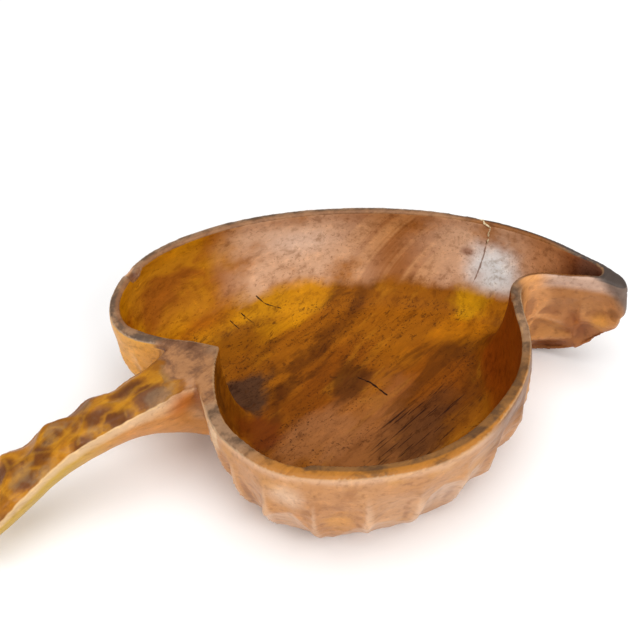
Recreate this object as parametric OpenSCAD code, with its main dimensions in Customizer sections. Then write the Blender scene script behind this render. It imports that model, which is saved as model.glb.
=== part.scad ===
// Carved wooden drinking ladle (kuksa): a leaf-shaped vessel with a pouring
// spout, a scalloped handle and one mended split. Millimetres, +Z up.
// The origin is on the table under the middle of the foot, the spout points
// along +X and the handle along -X.

/* [Vessel] */
// Length of the vessel from the left lobe to the spout tip
vessel_length = 197; // [160:1:240]
// Height of the rim above the table
rim_height = 48; // [42:1:60]
// Thickness of the floor over the foot
floor_thickness = 7; // [5:0.5:10]
// How much lower the middle of the floor is than its edge
floor_dish = 1.5; // [0.5:0.5:3]
// How far the wall's curve would run on below the table: more makes a crisper foot
foot_cut = 1.5; // [1:0.5:4]

/* [Gouge marks] */
// Depth of the gouge cuts around the outside of the wall
gouge_depth = 1.8; // [0:0.1:2.2]

/* [Handle] */
// Length of the handle outside the vessel
handle_length = 98; // [70:1:120]
// Width of the grip behind the platform
grip_width = 22; // [18:1:28]
// Thickness of the grip
grip_thickness = 17; // [14:0.5:20]
// Depth of the finger scallops along the far edge of the grip
scallop_depth = 3; // [0:0.2:4]

/* [Mended split] */
// Width of the pale filler in the split
filler_width = 0.8; // [0.4:0.1:2]
// How far the filler reaches down the wall
filler_depth = 10; // [5:1:20]

/* [Hidden] */

outline_steps = 4;                // steps drawn between two points of an outline
wall_rings = 12;                  // rings drawn down the outside of the wall
gouge_top = 1;                    // ring at which the gouge cuts start
gouge_foot = 10;                  // ring at which they end
gouge_width = 15;                 // gouges narrower than this are cut less deep
bowl_rings = 9;                   // rings drawn down the inside of the wall
floor_rings = 3;                  // rings drawn across the floor

drawn_length = 197;               // vessel length at which the outlines are drawn
plan = vessel_length / drawn_length;

// Three outlines of the vessel, anticlockwise from the corner at the handle.
// Points with the same number lie on the same line down the wall.
rim_outer = [
    [-69, 12], [-72.5, 2], [-75.5, -11], [-77.5, -24], [-75, -37],
    [-67.5, -53], [-52, -65.5], [-34, -73.5], [-14, -78], [6, -75.5],
    [25, -66.5], [42, -53.5], [55, -36], [62.5, -19.5], [68.5, -11],
    [74, -9], [82, -10.5], [91, -16.5], [99.5, -23.5], [106, -31.5],
    [108.5, -28], [108, -18], [104, -6], [96, 13], [81, 34],
    [62, 51.5], [38, 67], [12, 78.3], [-14, 85], [-40, 86],
    [-62, 81], [-78, 70], [-87, 57], [-88.8, 43], [-85, 34.5],
    [-78, 27.5], [-72.5, 20]
];
rim_inner = [
    [-57, 15], [-64, 4], [-70, -11], [-72, -23], [-69.5, -36],
    [-62.5, -50.5], [-48.5, -61.5], [-32, -69.3], [-13.5, -73], [5, -71],
    [23.3, -63.3], [39.3, -51.2], [51.6, -34.5], [59, -18], [65.5, -7.5],
    [71.5, -5], [80.5, -6.5], [89, -12.3], [97, -17.2], [101.5, -19.8],
    [104, -18], [104, -12.5], [100.5, -4.5], [93, 11.5], [78.5, 31.5],
    [60, 48.5], [36.3, 63.3], [10.8, 74.3], [-14, 80.5], [-40, 81.3],
    [-60.3, 77], [-75, 67], [-82.8, 55.5], [-84.2, 44], [-80, 37],
    [-74, 30], [-65.5, 23.5]
];
floor_edge = [
    [-43, 12], [-47, 1], [-51, -9], [-52, -19], [-50, -29],
    [-44, -40], [-34, -47], [-22, -51], [-10, -53], [4, -51],
    [17, -46], [29, -38], [39, -26], [48, -10], [56, 3],
    [60, 7], [63, 9], [65, 10.5], [66.3, 12], [67, 13.5],
    [67, 15], [66.3, 16.5], [65, 18.3], [62, 22], [54, 30],
    [43, 38], [27, 46], [9, 51.5], [-10, 55], [-29, 56],
    [-44, 54], [-55, 49], [-60, 42.5], [-60, 35], [-56.5, 28.5],
    [-52, 23], [-47.5, 17.5]
];
// How far the outside of the wall swells halfway down, at each of those points.
swell = [
    0, 0, -0.5, -0.5, 1, 3, 4, 3, 0, 0,
    0.5, 2.5, 5, 5.5, 5, 4, 4, 5, 6, 8,
    9, 7, 4, 2, 0, 0, 0, 0, 0, 0,
    0, 0, -0.5, -1, -1.5, -1.5, 0
];
rim_corner = 0;                   // the rim turns sharply at this point

// The handle, from inside the wall to its tip: distance along X, middle in Y,
// half width, height of the top and depth below it.
handle_rows = [
    [-58, 9, 14, 46.6, 35], [-67, 11, 15.5, 47.2, 35.5], [-75, 13, 14.2, 47.4, 32.5],
    [-83, 10.6, 12, 47.4, 27], [-91, 9.2, 11, 47, 22], [-100, 8.8, 10.9, 45.9, 18.5],
    [-111, 9, 10.9, 43.4, 17], [-122, 9, 10.8, 40.2, 16.5], [-133, 8.4, 11.2, 36.3, 16.5],
    [-144, 7.4, 12.6, 31.7, 16.8], [-154, 6.4, 14, 27.3, 16.4], [-163, 5.2, 14.8, 23.5, 15],
    [-170, 4.2, 15, 20.5, 13.5]
];
drawn_handle = 98;                // handle length at which those rows are drawn
drawn_width = 22;
drawn_thickness = 17;
drawn_rim = 48;
root_x = -72;                     // where the handle leaves the wall
hump_x = -93;                     // first hump of the scalloped edge
hump_gap = 18;                    // distance from hump to hump
nose_length = 9;                  // length over which the tip is rounded
crown = 0.6;                      // how far the middle of the top stands above its edges
row_steps = 5;                    // sections drawn between two rows
section_points = 32;
side_power = 0.6;                 // below 1, the sides stand steeper than an ellipse's
belly_power = 0.8;                // below 1, the belly is fuller than an ellipse's
edge_power = 10;                  // how late the flat top turns down at its edges
shoulder_share = 0.4;             // share of the depth that lies above the belly
belly_tuck = 0.15;                // share of the half width that the belly draws in
thinnest_tip = 0.2;               // size of the last section, as a share of the full one
clear = 1;                        // how far a cutting block stands past the wood
block_length = 300;
split_reach = 15;                 // half the length of the slot across the far wall

// The mended split and the parting of the spout lie on one upright plane:
// over the far rim, down the wall and across to the inner corner of the spout.
split_far = [79.8, 40];
split_near = [67, -14];

// ---- curves -------------------------------------------------------------
function turn(list, i) = list[(i + len(list)) % len(list)];
function unit(v) = v / norm(v);
function ease(t) = let (c = max(0, min(1, t))) c * c * (3 - 2 * c);
function blend(a, b, t) = a + (b - a) * t;
function level(ring, z) = [for (p = ring) [p[0], p[1], z]];

// Direction of an outline at point i, just before it (side -1) or after it.
function heading(list, i, corner, side) =
    let (back = turn(list, i) - turn(list, i - 1),
         ahead = turn(list, i + 1) - turn(list, i))
    i % len(list) == corner
        ? unit(side < 0 ? back : ahead)
        : unit(back * norm(ahead) / norm(back) + ahead * norm(back) / norm(ahead));

function hermite(a, b, da, db, t) =
    a * (2 * pow(t, 3) - 3 * pow(t, 2) + 1) + b * (3 * pow(t, 2) - 2 * pow(t, 3))
    + da * (pow(t, 3) - 2 * pow(t, 2) + t) + db * (pow(t, 3) - pow(t, 2));

// A smooth closed curve through every point of an outline, scaled to size.
function smooth(list, corner) = [
    for (i = [0 : len(list) - 1], step = [0 : outline_steps - 1])
        let (a = list[i], b = turn(list, i + 1), chord = norm(b - a))
        plan * hermite(a, b,
                       chord * heading(list, i, corner, 1),
                       chord * heading(list, i + 1, corner, -1),
                       step / outline_steps)
];

// The same steps for a list of single numbers.
function stretched(list) = [
    for (i = [0 : len(list) - 1], step = [0 : outline_steps - 1])
        blend(list[i], turn(list, i + 1), ease(step / outline_steps))
];

// ---- a solid skinned over a list of rings --------------------------------
function band_faces(rings, n) = [
    for (r = [0 : rings - 2], i = [0 : n - 1])
        let (j = (i + 1) % n, a = r * n, b = (r + 1) * n)
        each [[a + i, b + j, a + j], [a + i, b + i, b + j]]
];
function cap_faces(n, first, centre, top) = [
    for (i = [0 : n - 1])
        let (a = first + i, b = first + (i + 1) % n)
        top ? [a, centre, b] : [a, b, centre]
];
function middle(ring) = [for (p = ring) 1] * ring / len(ring);

// The rings run upwards outside and back down inside, or along a bar. Each end
// is closed with a fan about a point of its own.
module skin(rings, start, end) {
    n = len(rings[0]);
    count = len(rings) * n;
    polyhedron(
        points = concat([for (ring = rings) each ring], [start, end]),
        faces = concat(
            cap_faces(n, 0, count, false),
            band_faces(len(rings), n),
            cap_faces(n, count - n, count + 1, true)
        ),
        convexity = 12
    );
}

// Cuts between skinned solids are worked out on their meshes.
module cut_as_mesh() {
    resize([0, 0, 0]) children();
}

// ---- vessel ---------------------------------------------------------------
outer = smooth(rim_outer, rim_corner);
inner = smooth(rim_inner, rim_corner);
base = smooth(floor_edge, -1);
fullness = stretched(swell);

// Depth of the gouge cuts: tall hollows side by side, each from just under the
// rim to low on the wall, with a ridge between neighbours.
function gouge(i, k) =
    gouge_depth
    * min(1, norm(turn(outer, i + outline_steps) - outer[i]) / (plan * gouge_width))
    * abs(sin(180 * (i + 1) / outline_steps))
    * sin(180 * max(0, min(1, (k - gouge_top) / (gouge_foot - gouge_top))));

// Every wall falls as a quarter ellipse from the rim to the edge of the floor.
foot_turn = asin(rim_height / (rim_height + foot_cut));
function outer_ring(k) =
    let (angle = foot_turn * k / wall_rings,
         z = k == wall_rings ? 0 : rim_height - (rim_height + foot_cut) * sin(angle))
    [for (i = [0 : len(outer) - 1])
        concat(blend(outer[i], base[i], 1 - cos(angle))
                   + unit(outer[i] - base[i]) * (fullness[i] * sin(2 * angle) - gouge(i, k)),
               z)];
function inner_ring(k) =
    let (angle = 90 * k / bowl_rings)
    [for (i = [0 : len(inner) - 1])
        concat(blend(inner[i], base[i], 1 - cos(angle)),
               rim_height - (rim_height - floor_thickness) * sin(angle))];
function floor_ring(t) =
    [for (p = base) [p[0] * t, p[1] * t, floor_thickness - floor_dish * (1 - t * t)]];

module vessel() {
    skin(concat(
        [for (k = [wall_rings : -1 : 0]) outer_ring(k)],
        [for (k = [0 : bowl_rings]) inner_ring(k)],
        [for (k = [floor_rings - 1 : -1 : 1]) floor_ring(k / floor_rings)]
    ), [0, 0, 0], [0, 0, floor_thickness - floor_dish]);
}

// The vessel with its hollow filled past the rim, to trim the handle against.
module vessel_block() {
    lid = level(outer, rim_height + clear);
    skin(concat([for (k = [wall_rings : -1 : 0]) outer_ring(k)], [lid]), [0, 0, 0], middle(lid));
}

// ---- mended split ----------------------------------------------------------
split_run = unit(split_near - split_far);

module on_split() {
    translate([plan * split_far[0], plan * split_far[1], 0])
        rotate([0, 0, atan2(split_run[1], split_run[0])])
            children();
}
// Everything on the spout's side of the split.
module spout_side() {
    on_split()
        translate([-block_length / 2, 0, -clear])
            cube([block_length, block_length / 2, rim_height + 2 * clear]);
}
// The part of the split in the far wall that the filler sits in.
module filler_slot() {
    on_split()
        translate([-split_reach, -filler_width / 2, rim_height - filler_depth])
            cube([2 * split_reach, filler_width, filler_depth + clear]);
}

module bowl() {
    color("peru") cut_as_mesh() difference() {
        vessel();
        spout_side();
        filler_slot();
    }
}
module spout() {
    color("chocolate") cut_as_mesh() difference() {
        intersection() {
            vessel();
            spout_side();
        }
        filler_slot();
    }
}
module split_filler() {
    color("wheat") cut_as_mesh() intersection() {
        vessel();
        filler_slot();
    }
}

// ---- handle ---------------------------------------------------------------
function row_heading(i) =
    (handle_rows[min(i + 1, len(handle_rows) - 1)] - handle_rows[max(i - 1, 0)]) / 2;
function handle_row(i, t) =
    hermite(handle_rows[i], handle_rows[i + 1], row_heading(i), row_heading(i + 1), t);

// Hollows between the humps of the far edge.
function scallop(x) = x > hump_x ? 0 : scallop_depth * pow(sin(180 * (hump_x - x) / hump_gap), 2);

// One section of the handle: a flat top with eased edges, steep sides and a
// rounded belly, shrinking over the last stretch to close the tip.
function handle_section(row) =
    let (tip = root_x - drawn_handle,
         nose = max(0, 1 - (row[0] - tip) / nose_length),
         shrink = sqrt(max(pow(thinnest_tip, 2), 1 - nose * nose)),
         x = plan * root_x + (row[0] - root_x) * handle_length / drawn_handle,
         w = row[2] * shrink * grip_width / drawn_width,
         h = row[4] * grip_thickness / drawn_thickness,
         top = row[3] - drawn_rim + rim_height - (1 - shrink) * h * shoulder_share,
         shoulder = h * shoulder_share * shrink,
         belly = h * shrink - shoulder)
    [for (i = [0 : section_points - 1])
        let (a = 360 * i / section_points,
             side = sign(cos(a)) * pow(abs(cos(a)), side_power),
             fall = pow(abs(sin(a)), belly_power),
             y = plan * row[1] + w * side,
             cut = scallop(row[0]) * ease(0.5 + side / 2))
        sin(a) > 0
            ? [x, y, top + crown * (1 - side * side) - shoulder * pow(abs(side), edge_power) - cut]
            : [x, y - w * side * belly_tuck * fall,
               top - shoulder - belly * fall - cut * (1 - fall)]];

module handle() {
    sections = [
        for (i = [0 : len(handle_rows) - 2], step = [0 : row_steps - 1])
            handle_section(handle_row(i, step / row_steps)),
        handle_section(handle_rows[len(handle_rows) - 1])
    ];
    color("goldenrod") cut_as_mesh() difference() {
        skin(sections, middle(sections[0]), middle(sections[len(sections) - 1]));
        vessel_block();
    }
}

bowl();
spout();
handle();
split_filler();
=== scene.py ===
"""A carved wooden drinking ladle: one blank of curly birch, hollowed and gouged by hand.

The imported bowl, spout and handle are joined again into one skin, because the real cup is cut from
one piece. The skin is worn and gouged, measured for masks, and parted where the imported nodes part.
Lengths are in millimetres until a mesh is made, and the grain runs near the X axis.
"""

import math

import bmesh
import bpy
import numpy as np
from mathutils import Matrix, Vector
from mathutils.bvhtree import BVHTree
from mathutils.kdtree import KDTree


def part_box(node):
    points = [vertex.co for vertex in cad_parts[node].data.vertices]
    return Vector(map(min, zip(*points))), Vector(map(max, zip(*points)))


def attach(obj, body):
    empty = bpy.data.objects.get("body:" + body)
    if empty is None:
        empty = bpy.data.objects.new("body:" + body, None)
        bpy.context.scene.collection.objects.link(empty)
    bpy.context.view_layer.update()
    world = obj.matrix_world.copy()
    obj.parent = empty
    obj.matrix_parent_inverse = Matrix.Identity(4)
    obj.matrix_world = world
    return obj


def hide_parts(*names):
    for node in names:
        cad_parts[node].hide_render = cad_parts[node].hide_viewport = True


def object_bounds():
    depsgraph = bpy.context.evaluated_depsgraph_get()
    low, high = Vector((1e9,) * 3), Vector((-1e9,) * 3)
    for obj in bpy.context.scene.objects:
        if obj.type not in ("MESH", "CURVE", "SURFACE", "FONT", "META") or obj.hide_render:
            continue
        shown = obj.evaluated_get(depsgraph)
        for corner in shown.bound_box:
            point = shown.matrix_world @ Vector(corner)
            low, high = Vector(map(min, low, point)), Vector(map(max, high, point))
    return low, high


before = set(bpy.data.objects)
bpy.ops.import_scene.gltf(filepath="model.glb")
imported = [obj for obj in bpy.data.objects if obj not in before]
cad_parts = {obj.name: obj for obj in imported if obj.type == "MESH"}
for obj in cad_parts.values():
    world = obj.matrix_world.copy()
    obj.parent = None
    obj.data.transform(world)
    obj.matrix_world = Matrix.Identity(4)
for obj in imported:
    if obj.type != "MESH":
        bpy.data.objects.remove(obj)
cad_low, cad_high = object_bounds()

MM = 0.001
WOOD_NODES = ("bowl", "spout", "handle")
VOXEL = 0.9                     # size of the skin's faces


# ---- places that the frame gives -------------------------
def node_box(name):
    """Lowest and highest corner of a CAD node, in millimetres."""
    low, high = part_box(name)
    return np.array(low) / MM, np.array(high) / MM


BOWL_LOW, BOWL_HIGH = node_box("bowl")
SPOUT_LOW, SPOUT_HIGH = node_box("spout")
HANDLE_LOW, HANDLE_HIGH = node_box("handle")
FILLER_LOW, FILLER_HIGH = node_box("split_filler")
RIM_Z = BOWL_HIGH[2]
SPOUT_X = SPOUT_LOW[0]          # where the spout begins
ROOT_X = HANDLE_HIGH[0]         # the handle's inner end, under the rim
PLATFORM = 33                   # length of the flat landing between the rim and the grip
GRIP_X = ROOT_X - PLATFORM + 9  # where the grip's scallops begin
GRAIN_TURN = math.radians(20)   # how far the grain runs off the X axis, seen from above


def turned(point):
    """A point in the grain's own axes."""
    c, s = math.cos(GRAIN_TURN), math.sin(GRAIN_TURN)
    return np.array([c * point[0] + s * point[1], c * point[1] - s * point[0], point[2]])


def bowl_place(along, across, z):
    """A point given by its shares of the bowl's length and width."""
    size = BOWL_HIGH - BOWL_LOW
    return np.array([BOWL_LOW[0] + along * size[0], BOWL_LOW[1] + across * size[1], z])


def add_object(name, data):
    """A new object in the scene."""
    made = bpy.data.objects.new(name, data)
    bpy.context.scene.collection.objects.link(made)
    return made


# ---- the skin --------------------------------------------
def joined_blank():
    """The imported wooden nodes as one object, remeshed to an even skin without inner faces."""
    points = []
    faces = []
    for name in WOOD_NODES + ("split_filler",):
        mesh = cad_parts[name].data
        start = len(points)
        points += [v.co.copy() for v in mesh.vertices]
        faces += [[start + i for i in p.vertices] for p in mesh.polygons]
    mesh = bpy.data.meshes.new("blank")
    mesh.from_pydata(points, [], faces)
    blank = add_object("blank", mesh)
    remesh = blank.modifiers.new("even", "REMESH")
    remesh.mode = "VOXEL"
    remesh.voxel_size = VOXEL * MM
    graph = bpy.context.evaluated_depsgraph_get()
    skin = bpy.data.meshes.new_from_object(blank.evaluated_get(graph))
    bpy.data.objects.remove(blank)
    return skin


class Skin:
    """The wood's surface as arrays: its points in millimetres, their normals and neighbours."""

    def __init__(self, mesh):
        self.mesh = mesh
        self.first_corners = np.array([p.vertices[0] for p in mesh.polygons])
        count = len(mesh.vertices)
        flat = np.empty(count * 3, np.float32)
        mesh.vertices.foreach_get("co", flat)
        self.points = flat.reshape(-1, 3).astype(float) / MM
        pairs = np.empty(len(mesh.edges) * 2, np.int32)
        mesh.edges.foreach_get("vertices", pairs)
        first, second = pairs.reshape(-1, 2).T
        self.ends = np.concatenate([first, second])
        self.others = np.concatenate([second, first])
        self.count = np.bincount(self.ends, minlength=count)
        self.update_normals()

    def update_normals(self):
        """Passes the points on to the mesh and reads its new normals."""
        self.mesh.vertices.foreach_set("co", (self.points * MM).astype(np.float32).ravel())
        self.mesh.update()
        flat = np.empty(len(self.points) * 3, np.float32)
        self.mesh.vertices.foreach_get("normal", flat)
        self.normals = flat.reshape(-1, 3).astype(float)

    def around(self, values):
        """The mean of each point's neighbours."""
        values = values.reshape(len(self.points), -1)
        total = [
            np.bincount(self.ends, weights=column[self.others], minlength=len(self.points))
            for column in values.T
        ]
        return np.stack(total, axis=1) / self.count[:, None]

    def soften(self, rounds, weight=1.0):
        """Evens out the surface without shrinking it."""
        weight = np.broadcast_to(np.asarray(weight, float), len(self.points))[:, None]
        for _ in range(rounds):
            for push in (0.5, -0.52):
                self.points += push * weight * (self.around(self.points) - self.points)
        self.update_normals()

    def blur(self, values, rounds):
        """Values evened out over the neighbours."""
        for _ in range(rounds):
            values = 0.5 * values + 0.5 * self.around(values)[:, 0]
        return values

    def spread(self, seed, blocked):
        """Which points can be reached from a seed without crossing the blocked ones."""
        reached = np.zeros(len(self.points), bool)
        reached[seed] = True
        while True:
            grown = reached.copy()
            grown[self.others[reached[self.ends]]] = True
            grown &= ~blocked
            if (grown == reached).all():
                return reached
            reached = grown

    def lift(self, amount):
        """Moves the surface out along its normals."""
        self.points += self.normals * amount[:, None]
        self.update_normals()


def eased(values, low, high):
    """A smooth step from 0 at low to 1 at high."""
    t = np.clip((values - low) / (high - low), 0, 1)
    return t * t * (3 - 2 * t)


def nearest_distance(points, targets):
    """How far each point is from the nearest target."""
    tree = KDTree(len(targets))
    for i, target in enumerate(targets):
        tree.insert(target, i)
    tree.balance()
    return np.array([tree.find(p)[2] for p in points])


def waves(points, size, seed):
    """Smooth noise from a few crossed waves, between about -1 and 1."""
    chance = np.random.default_rng(seed)
    total = np.zeros(len(points))
    for _ in range(9):
        way = chance.normal(size=3)
        way /= np.linalg.norm(way)
        length = size * chance.uniform(0.7, 1.6)
        total += np.sin(points @ way * 2 * math.pi / length + chance.uniform(0, 7))
    return total / 4


def scattered(points, allowed, gap, squash, seed):
    """Seeds spread over part of the surface, no two closer than the gap."""
    chance = np.random.default_rng(seed)
    left = np.flatnonzero(allowed)
    left = chance.permutation(left)
    scaled = points * squash
    seeds = []
    while len(left):
        pick = left[0]
        seeds.append(pick)
        left = left[np.linalg.norm(scaled[left] - scaled[pick], axis=1) > gap]
    return scaled[seeds]


def cells(points, allowed, gap, squash, seed):
    """Knife cuts over part of the surface: how far each point is from the ridge between two cuts,
    up to the gap, and a random tone for the cut it is in."""
    seeds = scattered(points, allowed, gap, squash, seed)
    tones = np.random.default_rng(seed).uniform(size=len(seeds))
    sway = [waves(points[allowed], 1.3 * gap, seed + k) for k in (1, 2, 3)]
    spots = (points[allowed] + 0.11 * gap * np.stack(sway, axis=1)) * squash
    nearest = np.full(len(spots), 1e9)
    second = np.full(len(spots), 1e9)
    tone = np.zeros(len(spots))
    for spot, own_tone in zip(seeds, tones):
        away = np.linalg.norm(spots - spot, axis=1)
        second = np.minimum(second, np.maximum(away, nearest))
        tone = np.where(away < nearest, own_tone, tone)
        nearest = np.minimum(nearest, away)
    ridge = np.full(len(points), float(gap))
    ridge[allowed] = np.minimum(second - nearest, gap)
    tones = np.full(len(points), 0.5)
    tones[allowed] = tone
    return ridge, tones


# ---- masks and carving -----------------------------------
FAR = 20.0                      # stands for the distance of a point that isn't near the rim


def mark_regions(skin):
    """Tells the hollow, the rim, the outside and the handle apart."""
    p, n = skin.points, skin.normals
    skin.on_rim = (p[:, 2] > RIM_Z - 0.5 * VOXEL) & (n[:, 2] > 0.6)
    floor = np.flatnonzero(n[:, 2] > 0.9)
    middle = bowl_place(0.5, 0.5, RIM_Z / 4)
    seed = floor[np.argmin(np.linalg.norm(p[floor] - middle, axis=1))]
    skin.hollow = skin.spread(seed, skin.on_rim)
    skin.handle = near_node(p, "handle", 0.8)
    skin.outside = ~skin.hollow & ~skin.on_rim & ~skin.handle
    high = p[:, 2] > RIM_Z - 4
    skin.to_outer = np.full(len(p), FAR)
    near = p[:, 2] > RIM_Z - 8
    edge = skin.outside & high & (n[:, 2] < 0.6)
    skin.to_outer[near] = nearest_distance(p[near], p[edge])
    skin.to_inner = np.full(len(p), FAR)
    skin.to_inner[near] = nearest_distance(p[near], p[skin.hollow & high])


def near_node(points, name, reach):
    """Which points lie on a CAD node."""
    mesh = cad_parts[name].data
    corners = [v.co / MM for v in mesh.vertices]
    tree = BVHTree.FromPolygons(corners, [tuple(f.vertices) for f in mesh.polygons])
    low, high = node_box(name)
    close = ((points > low - reach) & (points < high + reach)).all(axis=1)
    found = np.zeros(len(points), bool)
    for i in np.flatnonzero(close):
        found[i] = tree.find_nearest(points[i], reach)[0] is not None
    return found


def dished(ridge, gap):
    """Depth of a knife cut as a share of its full depth: crisp at the ridge, round in the middle."""
    return 1 - (1 - np.clip(ridge / gap, 0, 1)) ** 2


def melt(skin, where, rounds):
    """Rounds off whatever is sharp in part of the skin."""
    weight = 0.5 * where.astype(float)[:, None]
    for _ in range(rounds):
        skin.points += weight * (skin.around(skin.points) - skin.points)
    skin.update_normals()


def round_rim(skin):
    """Rounds the rim's outer edge, more at the spout than round the bowl, and eases the inner one."""
    depth = RIM_Z - skin.points[:, 2]
    at_spout = skin.points[:, 0] > SPOUT_X + 2
    for zone, reach, rounds in ((~at_spout, 1.7, 5), (at_spout, 2.2, 7)):
        band = (skin.on_rim & (skin.to_outer < reach)) | (skin.outside & (depth < reach))
        melt(skin, band & zone & (skin.to_inner > 1.2), rounds)
    melt(skin, (skin.to_inner < 1.0) & ~skin.handle, 2)


LEDGE_START = bowl_place(0.19, 0, 0)[0]     # where the front rim's ledge begins
LEDGE_WIDTH = 2.2               # how far it stands into the hollow
LEDGE_REACH = 4.0               # how much of the rim it takes
LEDGE_DROP = 0.7                # how much lower its inner edge is


def bevel_front(skin):
    """Leaves a sloping ledge inside the front rim, which starts abruptly near the handle."""
    p = skin.points
    front = eased(p[:, 0], LEDGE_START, LEDGE_START + 3)
    front *= eased(p[:, 0], LEDGE_START + 110, LEDGE_START + 70)
    front *= p[:, 1] < bowl_place(0, 0.4, 0)[1]
    inward = (bowl_place(0.5, 0.5, 0) - p) * (1, 1, 0)
    inward /= np.linalg.norm(inward, axis=1)[:, None] + 1e-6
    rim_share = eased(skin.to_inner, LEDGE_REACH, 0) * skin.on_rim
    wall_share = eased(p[:, 2], RIM_Z - 14, RIM_Z - 2) * skin.hollow
    share = front * np.maximum(rim_share, wall_share)
    p += LEDGE_WIDTH * skin.blur(share, 1)[:, None] * inward
    slope = np.clip(1.2 - skin.to_inner / 2.2, 0, 1) * skin.on_rim * front
    p[:, 2] -= LEDGE_DROP * skin.blur(slope, 1)
    melt(skin, (skin.to_inner < 1.2) & (front > 0), 2)


# Chips in the hollow's edge: place as shares of the bowl's length and width, depth and reach.
EDGE_CHIPS = (
    (0.119, 0.912, 3.2, 5.0),
    (0.895, 0.393, 1.6, 3.2),
    (0.62, 0.035, 0.5, 4.0),
)


def chip_edges(skin):
    """Breaks small chips out of the hollow's edge."""
    for along, across, depth, reach in EDGE_CHIPS:
        middle = bowl_place(along, across, RIM_Z - 1)
        away = np.linalg.norm((skin.points - middle) * (1, 1, 0.7), axis=1)
        skin.points[:, 2] -= depth * eased(away, reach, reach * 0.4)
    skin.update_normals()


def relief(skin, rounds):
    """How far the skin stands out from a much evener one, in millimetres."""
    even = skin.points.copy()
    for _ in range(rounds):
        even += 0.5 * (skin.around(even) - even)
    return ((skin.points - even) * skin.normals).sum(axis=1)


BOWL_CUT = 22                   # about how far apart the knife's cuts are
SPOUT_CUT = 14
GRIP_CUT = 14


def carve(skin):
    """Evens the skin, then cuts what the knife left: facets outside and hollows along the grip."""
    firm = np.full(len(skin.points), 1.0)
    firm[skin.on_rim | skin.handle] = 0.35
    firm[skin.outside] = 0.2
    skin.soften(12, skin.blur(firm, 2))
    p = skin.points
    on_plane, to_spout = split_plane()
    melt(skin, (abs((p - on_plane) @ to_spout) < 2.5) & ~skin.on_rim, 12)
    wall = skin.outside & (p[:, 2] > 1) & (p[:, 2] < RIM_Z - 3)
    low = eased(RIM_Z - p[:, 2], 5, 26)
    fluted = skin.blur((wall & (p[:, 0] < SPOUT_X)).astype(float), 4)
    skin.lift((0.7 + 2.2 * low) * fluted * skin.blur(relief(skin, 50), 2))
    dish = wall_cuts(skin, wall, low) + grip_cuts(skin)
    skin.lift(-skin.blur(dish, 1))
    skin.lift(0.10 * waves(p, 16, 21) + 0.04 * waves(p, 6, 22))


def wall_cuts(skin, wall, low):
    """Depth of the facets outside, more towards the foot: broad round the bowl, small on the spout."""
    p = skin.points
    bowl_wall = wall & (p[:, 0] < SPOUT_X + 6)
    broad, broad_tone = cells(p, bowl_wall, BOWL_CUT, (1, 1, 0.8), 3)
    dish = np.where(bowl_wall, dished(broad, BOWL_CUT) * (0.2 + 1.0 * low), 0)
    spout_wall = wall & ~bowl_wall
    small, small_tone = cells(p, spout_wall, SPOUT_CUT, (1, 1, 1), 8)
    upright = eased(skin.normals[:, 2], -0.9, -0.6)
    dish += np.where(spout_wall, dished(small, SPOUT_CUT) * (0.5 + 1.9 * low) * upright, 0)
    skin.tone = np.where(spout_wall, small_tone, broad_tone)
    return dish


def grip_cuts(skin):
    """Depth of the scallops on top of the grip, and of the pocket under the landing's near side."""
    p = skin.points
    skin.top = skin.handle & (skin.normals[:, 2] > 0.45) & (p[:, 0] < GRIP_X)
    cuts, cut_tone = cells(p, skin.top, GRIP_CUT, (0.8, 1, 1), 12)
    skin.tone = np.where(skin.top, cut_tone, skin.tone)
    skin.top_ridge = np.where(skin.top, cuts, 6)
    dish = np.where(skin.top, dished(cuts, GRIP_CUT) * 1.1 * eased(GRIP_X - p[:, 0], 0, 9), 0)
    pocket = np.array([ROOT_X - 13, HANDLE_LOW[1] + 2, RIM_Z - 11])
    return dish + 2.2 * eased(np.linalg.norm(p - pocket, axis=1), 13, 3) * ~skin.top * skin.handle


def measure(skin):
    """Stores what the wood's colour follows: the regions, and where the surface bends or faces."""
    bend = ((skin.around(skin.points) - skin.points) * skin.normals).sum(axis=1)
    masks = {
        "crease": np.clip(skin.blur(bend, 4) * 16, -1, 1),
        "hollow": skin.blur(skin.hollow.astype(float), 1),
        "rim": skin.blur((skin.on_rim & ~skin.handle).astype(float), 1),
        "handle": skin.blur(skin.handle.astype(float), 1),
        "relief": skin.blur(relief(skin, 60), 1),
        "top": skin.blur((skin.handle & (skin.normals[:, 2] > 0.45)).astype(float), 5),
        "top_ridge": skin.blur(skin.top_ridge, 1),
        "tone": skin.blur(skin.tone, 2),
        "to_outer": skin.to_outer,
        "to_inner": skin.to_inner,
        "facing_x": skin.blur(skin.normals[:, 0], 6),
        "facing_y": skin.blur(skin.normals[:, 1], 6),
        "facing_z": skin.blur(skin.normals[:, 2], 6),
    }
    for name, values in masks.items():
        attribute = skin.mesh.attributes.new(name, "FLOAT", "POINT")
        attribute.data.foreach_set("value", values.astype(np.float32))


# ---- pieces ----------------------------------------------
CAP_DEPTH = 0.5                 # how deep in the wood the pieces are closed
ROOT_PEAK = 4                   # height of the cone that closes the bowl and the handle at the root
BEAD_SIDES = 8                  # faces round the glue bead


def split_plane():
    """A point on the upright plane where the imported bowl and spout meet, and the way to the spout."""
    bowl, spout = (
        np.array([v.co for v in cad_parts[name].data.vertices]) / MM for name in ("bowl", "spout")
    )
    known = {tuple(p) for p in bowl.round(2)}
    shared = np.array([p for p in spout if tuple(p.round(2)) in known])
    middle = shared.mean(axis=0)
    run = np.linalg.svd((shared - middle)[:, :2])[2][0]
    way = np.array([run[1], -run[0], 0])
    return middle, way * np.sign(way[0])


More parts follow.
